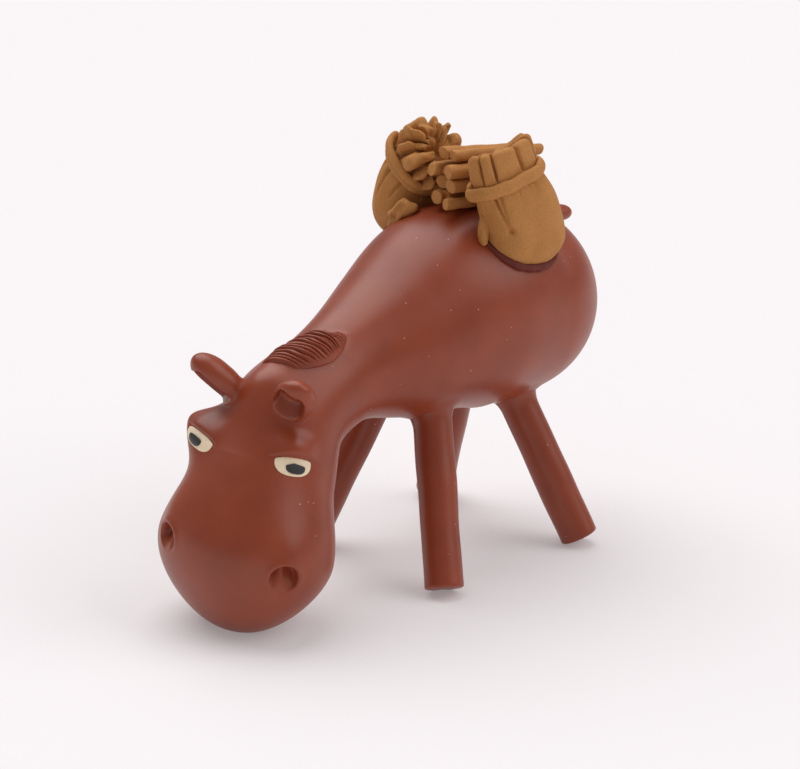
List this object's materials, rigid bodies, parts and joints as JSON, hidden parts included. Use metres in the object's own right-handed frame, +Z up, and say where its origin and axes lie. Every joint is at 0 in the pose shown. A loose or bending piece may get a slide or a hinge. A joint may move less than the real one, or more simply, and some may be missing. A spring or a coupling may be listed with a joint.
{
  "type": "donkey tea pet",
  "caption": "Hollow unglazed clay donkey resting its muzzle and feet on the table, with heavy lids, laden with tied sacks and a stack of firewood; an ornament for a tea tray.",
  "frame": {"origin": "On the table, under the middle of the donkey's bounding box.", "axes": "The donkey faces -Y, its left side is +X, and +Z is up."},
  "size_m": [0.061, 0.1432, 0.1135],
  "materials": {
    "red_stoneware": "burnished unglazed red stoneware, satin",
    "tan_clay": "unglazed tan stoneware, fine grain, matt",
    "cream_clay": "cream clay inlay, satin",
    "black_clay": "black clay inlay, satin",
    "dark_slip": "squeezed-out dark red slip, matt"
  },
  "bodies": {
    "root": {"torso_shell": "red_stoneware", "head_shell": "red_stoneware", "leg_front_left": "red_stoneware", "leg_front_right": "red_stoneware", "leg_rear_left": "red_stoneware", "leg_rear_right": "red_stoneware", "mane": "red_stoneware", "tail": "red_stoneware", "ear_left": "red_stoneware", "ear_right": "red_stoneware", "eyelid_left": "red_stoneware", "eyelid_right": "red_stoneware", "eye_white_left": "cream_clay", "eye_white_right": "cream_clay", "pupil_left": "black_clay", "pupil_right": "black_clay", "sack_left": "tan_clay", "sack_right": "tan_clay", "sack_tie_left": "tan_clay", "sack_tie_right": "tan_clay", "sack_wad_left": "tan_clay", "sack_wad_right": "tan_clay", "slip_bead_left": "dark_slip", "slip_bead_right": "dark_slip", "stick_01": "tan_clay", "stick_02": "tan_clay", "stick_03": "tan_clay", "stick_04": "tan_clay", "stick_05": "tan_clay", "stick_06": "tan_clay", "stick_07": "tan_clay", "stick_08": "tan_clay", "stick_09": "tan_clay", "stick_10": "tan_clay"}
  },
  "joints": []
}
